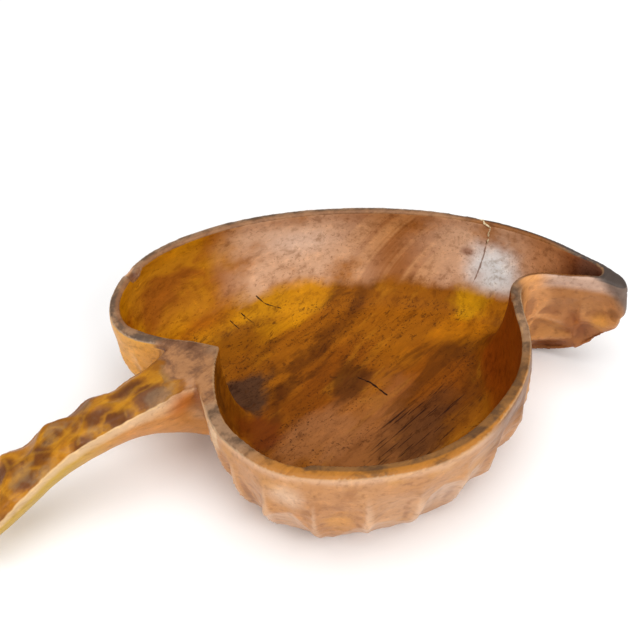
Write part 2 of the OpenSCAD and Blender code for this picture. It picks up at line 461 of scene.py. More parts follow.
def part_skin(skin):
    """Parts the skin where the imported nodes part. Each piece is closed inside the wood."""
    centres = np.array([p.center for p in skin.mesh.polygons]) / MM
    on_plane, to_spout = split_plane()
    past = (centres - on_plane) @ to_spout > 0
    label = np.where(skin.handle[skin.first_corners], 2, np.where(past, 1, 0))
    return [cut_out(skin, label == k) for k in range(3)]


def close_inside(edit, across):
    """Closes each opening a little inside the wood, so no cap shows between two pieces."""
    outward = edit.verts.layers.float_vector["whole_normal"]
    rim = [e for e in edit.edges if e.is_boundary]
    made = bmesh.ops.extrude_edge_only(edit, edges=rim)["geom"]
    for vert in [v for v in made if isinstance(v, bmesh.types.BMVert)]:
        vert.co -= CAP_DEPTH * MM * vert[outward]
    root = [e for e in edit.edges if e.is_boundary and e.verts[0].co.x < 0]
    if root:
        middle = sum(((e.verts[0].co + e.verts[1].co) / 2 for e in root), Vector()) / len(root)
        middle.x += ROOT_PEAK * MM
        peak = edit.verts.new(middle)
        for edge in root:
            edit.faces.new((edge.verts[0], edge.verts[1], peak))
    section = [e for e in edit.edges if e.is_boundary]
    if section:
        bmesh.ops.triangle_fill(edit, edges=section, normal=Vector(across))
    bmesh.ops.recalc_face_normals(edit, faces=edit.faces)


def cut_out(skin, kept):
    """A closed mesh of some of the skin's faces, shaded as if the skin were whole."""
    edit = bmesh.new()
    edit.from_mesh(skin.mesh)
    edit.faces.ensure_lookup_table()
    gone = [edit.faces[i] for i in np.flatnonzero(~kept)]
    bmesh.ops.delete(edit, geom=gone, context="FACES")
    close_inside(edit, split_plane()[1])
    mesh = bpy.data.meshes.new("piece")
    edit.to_mesh(mesh)
    edit.free()
    mesh.shade_smooth()
    shading = np.empty(len(mesh.vertices) * 3, np.float32)
    mesh.attributes["whole_normal"].data.foreach_get("vector", shading)
    mesh.normals_split_custom_set_from_vertices(shading.reshape(-1, 3))
    return mesh


def glue_bead(skin):
    """The cream glue in the split: an uneven bead over the rim and a short way down the inner wall."""
    tree = BVHTree.FromPolygons(skin.points.tolist(), [tuple(f.vertices) for f in skin.mesh.polygons])
    x = (FILLER_LOW[0] + FILLER_HIGH[0]) / 2
    over = [(x, y, RIM_Z) for y in np.linspace(FILLER_HIGH[1] - 0.6, FILLER_LOW[1] + 1.5, 8)]
    down = [(x, FILLER_LOW[1] - 2, z) for z in np.linspace(RIM_Z - 1, FILLER_LOW[2], 12)]
    path = [np.array(tree.find_nearest(Vector(place))[0]) for place in over + down]
    last = len(path) - 1
    points = []
    faces = []
    for i, place in enumerate(path):
        wiggle = 0.45 * math.sin(1.1 * i) + 0.25 * math.sin(2.7 * i)
        taper = min(1.0, 0.4 + 0.3 * min(i, last - i))
        width = (0.42 + 0.12 * math.sin(1.9 * i + 1)) * taper
        run = path[min(i + 1, last)] - path[max(i - 1, 0)]
        run /= np.linalg.norm(run)
        side = np.cross(run, (0.2, -0.7, 0.7))
        side /= np.linalg.norm(side)
        up = np.cross(side, run)
        for k in range(BEAD_SIDES):
            turn = 2 * math.pi * k / BEAD_SIDES
            sideways = wiggle + width * math.cos(turn)
            upward = width * 0.8 * math.sin(turn)
            points.append(place + sideways * side + upward * up)
    for start in range(0, last * BEAD_SIDES, BEAD_SIDES):
        for k in range(BEAD_SIDES):
            after = (k + 1) % BEAD_SIDES
            across = start + BEAD_SIDES
            faces.append((start + k, start + after, across + after, across + k))
    faces.append(tuple(reversed(range(BEAD_SIDES))))
    faces.append(tuple(range(last * BEAD_SIDES, (last + 1) * BEAD_SIDES)))
    mesh = bpy.data.meshes.new("glue_bead")
    mesh.from_pydata([tuple(p * MM) for p in points], [], faces)
    mesh.shade_smooth()
    return mesh


def add_piece(name, mesh, node, slot, *materials):
    """Shows a mesh in place of a CAD node. The first material is the outside, the second the hollow."""
    mesh.name = name
    piece = add_object(name, mesh)
    for material in materials:
        mesh.materials.append(material)
    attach(piece, "root")
    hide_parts(node)


# ---- material --------------------------------------------
def shade(red, green, blue, light=0.95, veil=0.02):
    """The base colour that shows as this screen colour, 0 to 255, under this much light and sheen."""
    values = [c / 255 for c in (red, green, blue)]
    linear = [c / 12.92 if c <= 0.04045 else ((c + 0.055) / 1.055) ** 2.4 for c in values]
    return [min(0.85, max(0.002, c - veil) / light) for c in linear] + [1]


def dim(red, green, blue):
    """A colour inside the hollow, where there is little sheen."""
    return shade(red, green, blue, 0.92, 0.006)


def patina(red, green, blue):
    """A colour on the level rim, which gets the most light."""
    return shade(red, green, blue, 1.15)


class Graph:
    """Builds one material's nodes. x, y, z and past_spout are in millimetres, and along and across
    are shares of the bowl's length and width."""

    def __init__(self, name):
        self.material = bpy.data.materials.new(name)
        self.material.use_nodes = True
        self.nodes = self.material.node_tree.nodes
        self.links = self.material.node_tree.links
        self.shader = self.nodes["Principled BSDF"]
        coordinates = self.nodes.new("ShaderNodeTexCoord")
        self.place = self.vector("SCALE", coordinates.outputs["Object"], scale=1 / MM)
        turn = self.nodes.new("ShaderNodeVectorRotate")
        turn.rotation_type = "Z_AXIS"
        self.feed(turn.inputs["Vector"], self.place)
        turn.inputs["Angle"].default_value = -GRAIN_TURN
        self.grain = turn.outputs[0]
        parts = self.nodes.new("ShaderNodeSeparateXYZ")
        self.feed(parts.inputs[0], self.place)
        self.x, self.y, self.z = parts.outputs
        self.past_spout = self.math("SUBTRACT", self.x, SPOUT_X)
        shares = self.nodes.new("ShaderNodeSeparateXYZ")
        from_corner = self.vector("SUBTRACT", self.place, tuple(BOWL_LOW))
        self.feed(shares.inputs[0], self.vector("DIVIDE", from_corner, tuple(BOWL_HIGH - BOWL_LOW)))
        self.along, self.across = shares.outputs[0], shares.outputs[1]
        self.ragged = self.noise(12, (0.5, 1, 1), 4, 31)
        self.cloud = self.noise(14, (0.6, 1, 1), 4, 13)

    def feed(self, socket, value):
        """Links a socket to another one, or sets its value."""
        if isinstance(value, bpy.types.NodeSocket):
            self.links.new(value, socket)
        else:
            socket.default_value = value

    def set(self, name, value):
        """Feeds one of the shader's own sockets."""
        self.feed(self.shader.inputs[name], value)

    def math(self, operation, *values, clamp=False):
        made = self.nodes.new("ShaderNodeMath")
        made.operation = operation
        made.use_clamp = clamp
        for socket, value in zip(made.inputs, values):
            self.feed(socket, value)
        return made.outputs[0]

    def meet(self, *masks):
        """Where all the masks meet."""
        found = masks[0]
        for mask in masks[1:]:
            found = self.math("MULTIPLY", found, mask)
        return found

    def swing(self, value, span):
        """Noise that swings round 0 instead of 0.5, over a span."""
        return self.math("MULTIPLY", self.math("SUBTRACT", value, 0.5), span)

    def plus(self, value, other, share=1):
        """A value with a share of another added."""
        if share != 1:
            other = self.math("MULTIPLY", other, share)
        return self.math("ADD", value, other)

    def vector(self, operation, *values, scale=None):
        made = self.nodes.new("ShaderNodeVectorMath")
        made.operation = operation
        for socket, value in zip(made.inputs, values):
            self.feed(socket, value)
        if scale is not None:
            self.feed(made.inputs["Scale"], scale)
        return made.outputs["Value" if operation in ("LENGTH", "DOT_PRODUCT") else "Vector"]

    def step(self, value, low, high, start=0.0, end=1.0):
        """A smooth step from start at low to end at high."""
        made = self.nodes.new("ShaderNodeMapRange")
        made.interpolation_type = "SMOOTHSTEP"
        for socket, number in zip(made.inputs, (value, low, high, start, end)):
            self.feed(socket, number)
        return made.outputs[0]

    def mix(self, amount, first, second, blend="MIX"):
        made = self.nodes.new("ShaderNodeMix")
        made.data_type = "RGBA"
        made.blend_type = blend
        self.feed(made.inputs[0], amount)
        self.feed(made.inputs[6], first)
        self.feed(made.inputs[7], second)
        return made.outputs[2]

    def mask(self, name):
        """What measure stored under a name."""
        made = self.nodes.new("ShaderNodeAttribute")
        made.attribute_name = name
        return made.outputs["Fac"]

    def noise(self, size, stretch=(1, 1, 1), detail=3, seed=0, bend=0.0, rough=0.55):
        """Noise with spots of about this size, stretched along the grain where a stretch is below 1."""
        scale = [s / size for s in stretch]
        where = self.vector("MULTIPLY_ADD", self.grain, scale, (seed, -1.7 * seed, 2.3 * seed))
        made = self.nodes.new("ShaderNodeTexNoise")
        self.feed(made.inputs["Vector"], where)
        settings = {"Scale": 1, "Detail": detail, "Roughness": rough, "Distortion": bend}
        for name, number in settings.items():
            made.inputs[name].default_value = number
        return made.outputs[0]

    def blob(self, centre, size, ragged=0.0):
        """1 at a place, fading to 0 at the given distances from it along X, Y and Z."""
        away = self.vector("SUBTRACT", self.place, tuple(centre))
        away = self.vector("DIVIDE", away, tuple(size))
        away = self.vector("LENGTH", away)
        if ragged:
            away = self.plus(away, self.ragged, ragged)
        return self.step(away, 1.0, 0.35)

    def paint(self, colour, tint, where, amount=1.0):
        """A colour with a tint over it, as strong as the mask and the amount say."""
        return self.mix(self.math("MULTIPLY", where, amount, clamp=True), colour, tint)

    def spot(self, along, across, length, width, ragged=0.9):
        """A ragged patch in plan, its middle given by shares of the bowl's length and width."""
        middle = bowl_place(along, across, 0)
        away = self.vector("SUBTRACT", self.grain, tuple(turned(middle)))
        away = self.vector("MULTIPLY", away, (1 / length, 1 / width, 0))
        uneven = self.swing(self.ragged, ragged * 2)
        return self.step(self.plus(self.vector("LENGTH", away), uneven), 1.1, 0.45)

    def path(self, places):
        """Distance in plan from a path. Its places are shares of the bowl's length and width."""
        points = [Vector(bowl_place(along, across, 0)) for along, across in places]
        nearest = 1e3
        for start, end in zip(points, points[1:]):
            nearest = self.math("MINIMUM", self.segment(start, end), nearest)
        return nearest

    def line(self, places, width):
        """A hairline along a path."""
        wobble = self.swing(self.noise(3, detail=2, seed=71), 3 * width)
        return self.step(self.plus(self.path(places), wobble), width, width * 0.4)

    def band(self, places, width):
        """A soft ragged band along a path."""
        wobble = self.swing(self.cloud, 3 * width)
        return self.step(self.plus(self.path(places), wobble), width * 1.3, 0)

    def segment(self, start, end):
        """Distance in plan from the line between two points."""
        run = end - start
        away = self.vector("SUBTRACT", self.vector("MULTIPLY", self.place, (1, 1, 0)), tuple(start))
        along = self.vector("DOT_PRODUCT", away, tuple(run / run.length_squared))
        along = self.math("MAXIMUM", self.math("MINIMUM", along, 1.0), 0.0)
        foot = self.vector("SCALE", tuple(run), scale=along)
        return self.vector("LENGTH", self.vector("SUBTRACT", away, foot))


def finish_wood(g, colour, roughness, shine, wax, grit):
    """What all the wood shares: fine grain, pores, mottling, painted shade in concave creases, and the
    skin's small unevenness.
    """
    fine = g.noise(2.4, (0.12, 1, 1), 4, 9)
    mottle = g.noise(5, (0.5, 1, 1), 6, 15, 0.3, 0.72)
    pores = g.noise(1.2, (0.5, 1, 1), 4, 11, 0.0, 0.75)
    patchy = g.step(g.noise(24, (0.5, 1, 1), 3, 17), 0.38, 0.62, 0.25, 1.0)
    grit = g.math("MULTIPLY", patchy, grit)
    # painted shade: darker where the surface bends inwards into a crease
    colour = g.paint(colour, shade(105, 55, 22), g.step(g.mask("crease"), 0.15, 0.7), 0.4)
    darker = g.mix(1.0, colour, (0.52, 0.44, 0.36, 1), "MULTIPLY")
    paler = g.mix(1.0, colour, (1.28, 1.26, 1.2, 1), "MULTIPLY")
    colour = g.paint(colour, darker, g.step(mottle, 0.5, 0.68), grit)
    colour = g.paint(colour, paler, g.step(mottle, 0.48, 0.34), 0.6)
    colour = g.paint(colour, darker, g.step(fine, 0.5, 0.75), 0.55)
    colour = g.paint(colour, darker, g.step(pores, 0.55, 0.66), grit)
    g.set("Base Color", colour)
    g.set("Roughness", g.step(g.cloud, 0.3, 0.7, roughness - 0.07, roughness + 0.08))
    bump = g.nodes.new("ShaderNodeBump")
    bump.inputs["Strength"].default_value = 0.45
    bump.inputs["Distance"].default_value = 0.3 * MM
    g.feed(bump.inputs["Height"], g.plus(fine, mottle, 0.8))
    g.set("Normal", bump.outputs[0])
    g.set("Specular IOR Level", shine)
    g.set("Coat Weight", wax)
    g.set("Coat Roughness", 0.22)
    return g.material


# Patches of the hollow, in the order they lie on each other: colour, place as shares of the bowl's
# length and width, half length and half width along the grain, strength, and any unusual raggedness.
GROUND_PATCHES = (
    ((176, 116, 8), 0.36, 0.83, 50, 19, 0.9),
    ((146, 92, 52), 0.45, 0.27, 48, 26, 0.8),
    ((120, 64, 22), 0.47, 0.56, 46, 17, 0.75),
    ((130, 70, 22), 0.72, 0.45, 28, 17, 0.85),
)
GOLD_PATCHES = (
    ((190, 130, 14), 0.42, 0.85, 44, 14, 0.6),
    ((198, 132, 24), 0.585, 0.865, 22, 9, 0.75),
    ((142, 88, 50), 0.47, 0.42, 36, 17, 0.55),
)
SPOUT_PATCHES = (
    ((178, 108, 22), 0.93, 0.58, 24, 14, 0.8),
    ((208, 152, 20), 0.95, 0.63, 13, 9, 0.65),
)
BROWN_PATCHES = (
    ((112, 60, 16), 0.32, 0.78, 26, 13, 0.8),
    ((156, 102, 62), 0.36, 0.40, 24, 15, 0.6),
    ((104, 48, 6), 0.245, 0.47, 13, 9, 0.8),
)
STAINS = (
    ((76, 52, 38), 0.275, 0.62, 15, 11, 0.95, 1.5),
    ((76, 42, 22), 0.53, 0.525, 14, 10, 0.75, 1.5),
    ((88, 52, 30), 0.60, 0.30, 30, 15, 0.8, 0.8),
)

# Dark bands across the floor: places as shares of the bowl's length and width, and a half width.
FLOOR_BANDS = (
    (((0.55, 0.72), (0.63, 0.75), (0.71, 0.80)), 6.0),
    (((0.42, 0.64), (0.53, 0.68)), 3.5),
    (((0.30, 0.50), (0.36, 0.60)), 4.0),
)

# Hairline cracks in the floor: places as shares of the bowl's length and width, and a width.
FLOOR_CRACKS = (
    (((0.556, 0.543), (0.575, 0.515), (0.590, 0.454)), 0.55),
    (((0.440, 0.901), (0.458, 0.879), (0.491, 0.857)), 0.3),
    (((0.385, 0.880), (0.406, 0.846)), 0.3),
    (((0.349, 0.872), (0.362, 0.846)), 0.25),
)


def add_patches(g, colour, patches):
    """A colour of the hollow with ragged patches over it."""
    for tint, along, across, length, width, amount, *ragged in patches:
        colour = g.paint(colour, dim(*tint), g.spot(along, across, length, width, *ragged), amount)
    return colour


def hollow_wood():
    """Oiled amber, with brown bands along the grain, stains, and a painted pale reflection on the far wall.
    """
    g = Graph("hollow_wood")
    colour = ground_colour(g)
    colour = g.paint(colour, far_wall_colour(g), far_wall_mask(g))
    colour = wall_tones(g, colour)
    colour = floor_wear(g, colour)
    colour = g.paint(colour, rim_colour(g), rim_mask(g))
    return finish_wood(g, colour, roughness=0.5, shine=0.05, wax=0.0, grit=0.75)


def ground_colour(g):
    """The floor's own wood: amber and brown, banded along the grain, gold towards the far wall."""
    broad = g.noise(30, (0.35, 1, 1), 3, 5, 0.3)
    bands = g.noise(14, (0.27, 1, 1), 6, 3, 0.9, 0.62)
    colour = g.mix(g.step(broad, 0.4, 0.62), dim(146, 86, 24), dim(116, 64, 20))
    colour = add_patches(g, colour, GROUND_PATCHES)
    colour = g.paint(colour, dim(80, 44, 18), g.step(bands, 0.53, 0.64), 0.6)
    colour = g.paint(colour, dim(174, 114, 32), g.step(bands, 0.44, 0.34), 0.4)
    colour = add_patches(g, colour, GOLD_PATCHES)
    for places, width in FLOOR_BANDS:
        colour = g.paint(colour, dim(80, 42, 18), g.band(places, width), 0.7)
    return add_patches(g, colour, SPOUT_PATCHES)


def wall_tones(g, colour):
    """Russet on the near and right walls, bright amber on the left one, and painted shade, dark brown, at
    the end of the spout's trough.
    """
    steep = g.step(g.mask("facing_z"), 0.8, 0.55)
    toward_far = g.plus(g.mask("facing_y"), g.mask("facing_x"), 0.6)
    near = g.meet(g.step(toward_far, 0.2, 0.45), g.step(g.across, 0.633, 0.548), steep)
    colour = g.paint(colour, dim(104, 48, 4), near, 0.95)
    right = g.meet(g.step(g.mask("facing_x"), -0.5, -0.8), g.step(g.across, 0.523, 0.426))
    colour = g.paint(colour, dim(132, 62, 6), right, 0.85)
    colour = add_patches(g, colour, BROWN_PATCHES)
    leaning = g.plus(g.plus(g.x, g.z, -0.7), g.swing(g.ragged, 30))
    left = g.step(leaning, bowl_place(0.412, 0, 0)[0], bowl_place(0.269, 0, 0)[0])
    in_lobe = g.meet(g.step(g.along, 0.46, 0.317), g.step(g.across, 0.523, 0.657))
    left = g.meet(left, in_lobe, g.step(g.z, 6, 13))
    blotch = g.noise(22, (0.7, 1, 1), 5, 45, 0.4)
    amber = g.mix(g.step(blotch, 0.4, 0.62), dim(190, 124, 2), dim(158, 90, 2))
    colour = g.paint(colour, amber, left, 0.97)
    # painted shade: dark brown at the far end of the spout's trough
    return g.paint(colour, dim(108, 74, 58), g.step(g.past_spout, 30.5, 36.5), 0.85)


def floor_wear(g, colour):
    """Stains, grit, the scratched patch and the hairline cracks."""
    colour = add_patches(g, colour, STAINS)
    flat = g.step(g.mask("facing_z"), 0.7, 0.9)
    specks = g.step(g.noise(1.0, (0.8, 1, 1), 2, 91, 0.0, 0.8), 0.58, 0.66)
    clusters = g.step(g.noise(17, (0.5, 1, 1), 4, 93), 0.42, 0.56)
    colour = g.paint(colour, dim(46, 26, 14), g.meet(specks, clusters, flat), 0.75)
    flecks = g.step(g.noise(3.0, (0.45, 1, 1), 4, 95, 0.5, 0.72), 0.56, 0.66)
    clusters = g.step(g.noise(26, (0.5, 1, 1), 3, 97), 0.42, 0.56)
    colour = g.paint(colour, dim(74, 42, 18), g.meet(flecks, clusters, flat), 0.7)
    scratches = g.step(g.noise(0.9, (0.045, 1, 1), 2, 51), 0.57, 0.64)
    colour = g.paint(colour, dim(34, 20, 12), g.meet(scratches, g.spot(0.6, 0.3, 36, 19)), 0.85)
    for places, width in FLOOR_CRACKS:
        colour = g.paint(colour, dim(30, 18, 12), g.line(places, width), 0.95)
    return colour


def rim_mask(g):
    """The flat rim, and what has been cut down along its inner edge."""
    inner = g.meet(g.step(g.mask("rim"), 0.3, 0.6), g.step(g.mask("to_outer"), 0.8, 1.6))
    return g.math("MAXIMUM", g.step(g.z, RIM_Z - 1.0, RIM_Z - 0.5), inner)


def far_wall_mask(g):
    """The upper part of the far wall, above the golden floor."""
    level = g.plus(g.z, g.swing(g.ragged, 10))
    facing = g.plus(g.mask("facing_y"), g.mask("facing_x"), 0.3)
    return g.meet(g.step(facing, -0.3, -0.55), g.step(level, 13, 19))


def far_wall_colour(g):
    """Painted pale sheen in clouds over amber, brown streaks that lean with the wall, and a painted white
    highlight by the spout.
    """
    # painted reflection: pale clouds of sheen over the far wall's amber
    painted_far_sheen = g.noise(26, (0.6, 1, 1), 5, 41)
    colour = g.mix(g.step(painted_far_sheen, 0.34, 0.56), dim(168, 108, 56), dim(212, 168, 134))
    streaks = g.nodes.new("ShaderNodeTexNoise")
    streaks.noise_dimensions = "1D"
    g.feed(streaks.inputs["W"], g.math("MULTIPLY", g.plus(g.x, g.z, -0.8), 0.11))
    streaks.inputs["Scale"].default_value = 1
    streaks.inputs["Detail"].default_value = 4
    brown = g.mix(g.step(streaks.outputs[0], 0.42, 0.6), dim(148, 86, 36), dim(190, 132, 80))
    aside = g.math("ABSOLUTE", g.math("SUBTRACT", g.x, bowl_place(0.805, 0, 0)[0]))
    colour = g.paint(colour, brown, g.step(aside, 28, 0), 0.9)
    colour = g.paint(colour, dim(182, 116, 64), g.step(g.past_spout, 17.5, 27.5), 0.8)
    uneven = g.step(painted_far_sheen, 0.28, 0.5, 0.6, 1.0)
    # painted reflection: a paler cloud of sheen high on the far wall
    cloud = g.blob(bowl_place(0.57, 0.91, RIM_Z - 13), (34, 22, 15), 0.6)
    colour = g.paint(colour, dim(228, 196, 172), g.meet(cloud, uneven), 0.75)
    # painted highlight: a near-white glare on the far wall by the spout
    painted_glare = g.blob(bowl_place(1.0, 0.62, RIM_Z - 21), (21, 27, 26), 0.5)
    colour = g.paint(colour, dim(250, 238, 228), g.meet(painted_glare, uneven))
    knot = g.blob(bowl_place(0.965, 0.69, RIM_Z - 16), (5, 6, 4), 0.3)
    colour = g.paint(colour, dim(150, 106, 82), knot, 0.8)
    colour = g.paint(colour, dim(152, 96, 56), g.step(g.z, RIM_Z - 8, RIM_Z - 1), 0.45)
    split = g.line(((1.003, 0.658), (0.965, 0.650)), 0.4)
    return g.paint(colour, dim(112, 70, 40), g.meet(split, g.step(g.z, RIM_Z - 8, RIM_Z - 9)), 0.75)


# Facets on the spout's near side: place as shares of the spout's box, reach each way and colour.
SPOUT_FACETS = (
    ((0.27, 0.34, 0.58), (11, 12, 17), (216, 154, 98)),
    ((0.60, 0.22, 0.45), (8, 8, 12), (150, 90, 50)),
    ((0.78, 0.11, 0.52), (6, 7, 8), (208, 146, 74)),
    ((0.84, 0.05, 0.66), (4, 5, 5), (126, 78, 42)),
)


def outer_wood():
    """Paler, handled and waxed: tan with honey and brown patches, a scalloped dark grip, a painted sheen on
    the front wall and a painted highlight down the wall by the handle's root.
    """
    g = Graph("outer_wood")
    colour = wall_colour(g)
    colour = spout_tones(g, colour)
    colour = g.paint(colour, shade(222, 160, 74), g.spot(0.05, 0.70, 24, 22), 0.9)
    # painted sheen: a whitish patch on the front outer wall
    painted_front_sheen = g.blob(bowl_place(0.145, 0.135, RIM_Z - 12), (15, 15, 12), 0.6)
    colour = g.paint(colour, shade(224, 196, 172), painted_front_sheen, 0.45)
    colour = g.paint(colour, grip_colour(g), g.step(g.mask("handle"), 0.3, 0.7))
    colour = g.paint(colour, rim_colour(g), outer_rim_mask(g))
    colour = g.paint(colour, landing_colour(g), landing_mask(g))
    # painted highlight: a pale line down the bowl's outer wall beside the handle's root
    top_end = Vector((ROOT_X - 13, HANDLE_LOW[1] + 3, 0))
    low_end = Vector((ROOT_X - 18, HANDLE_LOW[1] - 16, 0))
    crease = g.step(g.segment(top_end, low_end), 2.4, 0.8)
    crease = g.meet(crease, g.step(g.z, RIM_Z - 20, RIM_Z - 8), g.step(g.z, RIM_Z - 0.6, RIM_Z - 1.6))
    colour = g.paint(colour, shade(232, 200, 160), crease, 0.65)
    return finish_wood(g, colour, roughness=0.42, shine=0.2, wax=0.12, grit=0.4)


def wall_colour(g):
    """The outside of the bowl: tan, each facet with its own tone, painted shade in the low places and
    painted highlights on the raised ones, darker at the upper right.
    """
    broad = g.noise(38, (0.5, 1, 1), 2, 25)
    bands = g.noise(20, (0.3, 1, 1), 4, 23, 0.5)
    tone = g.mask("tone")
    raised = g.mask("relief")
    colour = g.mix(g.step(broad, 0.4, 0.6), shade(190, 144, 106), shade(180, 128, 84))
    colour = g.paint(colour, shade(202, 144, 76), g.step(g.cloud, 0.5, 0.68), 0.55)
    colour = g.paint(colour, shade(150, 98, 62), g.step(bands, 0.55, 0.7), 0.55)
    # painted shade in the low places of the relief, and painted highlights on its raised places
    colour = g.paint(colour, shade(172, 118, 78), g.step(raised, 0.0, -0.6), 0.5)
    colour = g.paint(colour, shade(222, 190, 164), g.step(raised, 0.2, 1.0), 0.35)
    colour = g.paint(colour, shade(206, 148, 84), g.step(tone, 0.4, 0.1), 0.4)
    colour = g.paint(colour, shade(206, 178, 156), g.step(tone, 0.62, 0.85), 0.4)
    upper_right = g.meet(g.step(g.along, 0.555, 0.674), g.step(g.z, 22, 36), g.step(g.across, 0.596, 0.414))
    colour = g.paint(colour, shade(116, 76, 44), upper_right, 0.8)
    return g.paint(colour, shade(170, 126, 94), g.step(g.z, 22, 6), 0.45)


def spout_tones(g, colour):
    """The outside of the spout: orange and brown facets, a painted lilac sheen under the lip and a slate
    tip.
    """
    tone = g.mask("tone")
    spout = g.step(g.past_spout, -0.5, 7.5)
    lower = g.meet(spout, g.step(g.z, 38, 30))
    colour = g.paint(colour, shade(184, 124, 74), spout, 0.6)
    colour = g.paint(colour, shade(222, 158, 100), g.meet(spout, g.step(g.past_spout, 21.5, 9.5)), 0.8)
    colour = g.paint(colour, shade(142, 84, 44), g.meet(lower, g.step(tone, 0.4, 0.7)), 0.65)
    colour = g.paint(colour, shade(206, 146, 74), g.meet(lower, g.step(tone, 0.4, 0.15)), 0.5)
    colour = g.paint(colour, shade(126, 84, 58), g.meet(spout, g.step(g.z, 12, 5)), 0.6)
    for place, size, tint in SPOUT_FACETS:
        middle = SPOUT_LOW + np.array(place) * (SPOUT_HIGH - SPOUT_LOW)
        colour = g.paint(colour, shade(*tint), g.blob(middle, size, 0.25), 0.75)
    # painted sheen: a lilac band of reflected light under the spout's lip
    painted_lilac_sheen = g.meet(g.step(g.past_spout, 9.5, 19.5), g.step(g.z, 40, 44))
    colour = g.paint(colour, shade(194, 164, 146), painted_lilac_sheen, 0.8)
    tip = g.step(g.plus(g.past_spout, g.z, 0.5), 54.5, 59.5)
    return g.paint(colour, shade(106, 92, 84), tip, 0.9)


def outer_rim_mask(g):
    """The rim as the outside shows it, without the notch's lip by the spout and without the handle."""
    edge = SPOUT_HIGH[1] - 6.4
    near_lip = g.step(g.plus(g.y, g.past_spout, 1.3), edge, edge - 4)
    near_lip = g.meet(near_lip, g.step(g.past_spout, -2.5, 3.5), g.step(g.past_spout, 35.5, 29.5))
    near_lip = g.meet(near_lip, g.step(g.mask("to_inner"), 1.4, 2.2))
    on_rim = g.meet(rim_mask(g), g.math("SUBTRACT", 1.0, near_lip))
    on_rim = g.math("MAXIMUM", on_rim, g.step(g.mask("hollow"), 0.1, 0.4))
    return g.meet(on_rim, g.step(g.mask("handle"), 0.7, 0.3))


def landing_mask(g):
    """The flat landing between the bowl and the grip, with a ragged end."""
    end = ROOT_X - PLATFORM + 13
    middle = (HANDLE_LOW[1] + HANDLE_HIGH[1]) / 2
    level = g.step(g.z, RIM_Z - 3.2, RIM_Z - 2.2)
    before_grip = g.step(g.plus(g.x, g.swing(g.ragged, 26)), end - 2, end + 2)
    within = g.step(g.math("ABSOLUTE", g.math("SUBTRACT", g.y, middle)), 22, 18)
    return g.meet(level, before_grip, within, g.step(g.x, ROOT_X + 4, ROOT_X - 6))


def landing_colour(g):
    """Brown and spotted like the rim, with a paler inner edge."""
    spots = g.noise(10, (1, 1, 1), 6, 67, 0.2, 0.65)
    colour = g.mix(g.step(spots, 0.42, 0.6), shade(176, 126, 86, 1.1), shade(130, 92, 68, 1.1))
    colour = g.paint(colour, shade(106, 70, 50, 1.1), g.step(spots, 0.58, 0.68), 0.7)
    return g.paint(colour, shade(208, 166, 120, 1.1), g.step(g.mask("to_inner"), 1.5, 0.5), 0.5)


# Dark ovals on the grip: how far from the root and from the near side, half length and half width.
GRIP_OVALS = (
    (36, 21, 8, 4.5),
    (31, 13, 7, 5),
    (52, 15, 8, 5),
    (45, 10, 5, 4),
    (60, 9, 6, 3.5),
    (69, 19, 4, 3),
    (76, 15, 6, 6),
    (84, 8, 5, 3.5),
    (91, 18, 8, 5),
    (103, 12, 7, 5),
)


def grip_colour(g):
    """The handle: dark ovals ringed with honey on top, a painted sheen on the upper sides, painted orange
    shade at the root, and a painted highlight along the edge between top and side.
    """
    side = g.mix(g.step(g.x, ROOT_X - 40, ROOT_X - 75), shade(192, 132, 74), shade(190, 154, 70))
    # painted sheen: the sides paler where they turn to face up
    side = g.paint(side, shade(204, 172, 138), g.step(g.mask("facing_z"), -0.05, 0.3), 0.8)
    # painted shade: the shadowed pocket at the root, orange from light bounced off the wood
    pocket = g.blob((ROOT_X - 18, HANDLE_LOW[1] + 4, RIM_Z - 6), (17, 14, 13), 0.5)
    side = g.paint(side, shade(176, 96, 30), pocket, 0.85)
    ridge = g.step(g.plus(g.mask("top_ridge"), g.swing(g.cloud, 9)), 2.5, 6)
    top = g.mix(g.step(g.cloud, 0.4, 0.62), shade(172, 112, 36), shade(142, 90, 34))
    top = g.paint(top, shade(128, 78, 34), g.meet(ridge, g.mask("tone")), 0.6)
    bent = g.swing(g.noise(9, (1, 1, 1), 4, 79), 2.2)
    for back, across, length, width in GRIP_OVALS:
        away = g.vector("SUBTRACT", g.place, (ROOT_X - back, HANDLE_LOW[1] + across, 0))
        away = g.vector("LENGTH", g.vector("MULTIPLY", away, (1 / length, 1 / width, 0)))
        away = g.plus(away, bent)
        ring = g.meet(g.step(away, 0.9, 1.25), g.step(away, 1.8, 1.3))
        top = g.paint(top, shade(196, 136, 44), ring, 0.4)
        top = g.paint(top, shade(104, 64, 0), g.step(away, 1.3, 0.4), 0.92)
    sheen = g.meet(g.step(g.noise(15, (1, 1, 1), 3, 77), 0.52, 0.62), ridge)
    top = g.paint(top, shade(140, 118, 90), sheen, 0.4)
    top = g.paint(top, shade(200, 146, 56), g.step(g.mask("top_ridge"), 1.6, 0.2), 0.25)
    blend = g.mask("top")
    colour = g.paint(side, top, g.step(blend, 0.35, 0.65))
    past_landing = g.step(g.x, ROOT_X - PLATFORM + 8, ROOT_X - PLATFORM)
    # painted highlight: a pale line along the edge between the grip's top and its side
    arris = g.meet(g.step(blend, 0.12, 0.4), g.step(blend, 0.72, 0.5), past_landing)
    return g.paint(colour, shade(224, 188, 138), arris, 0.6)


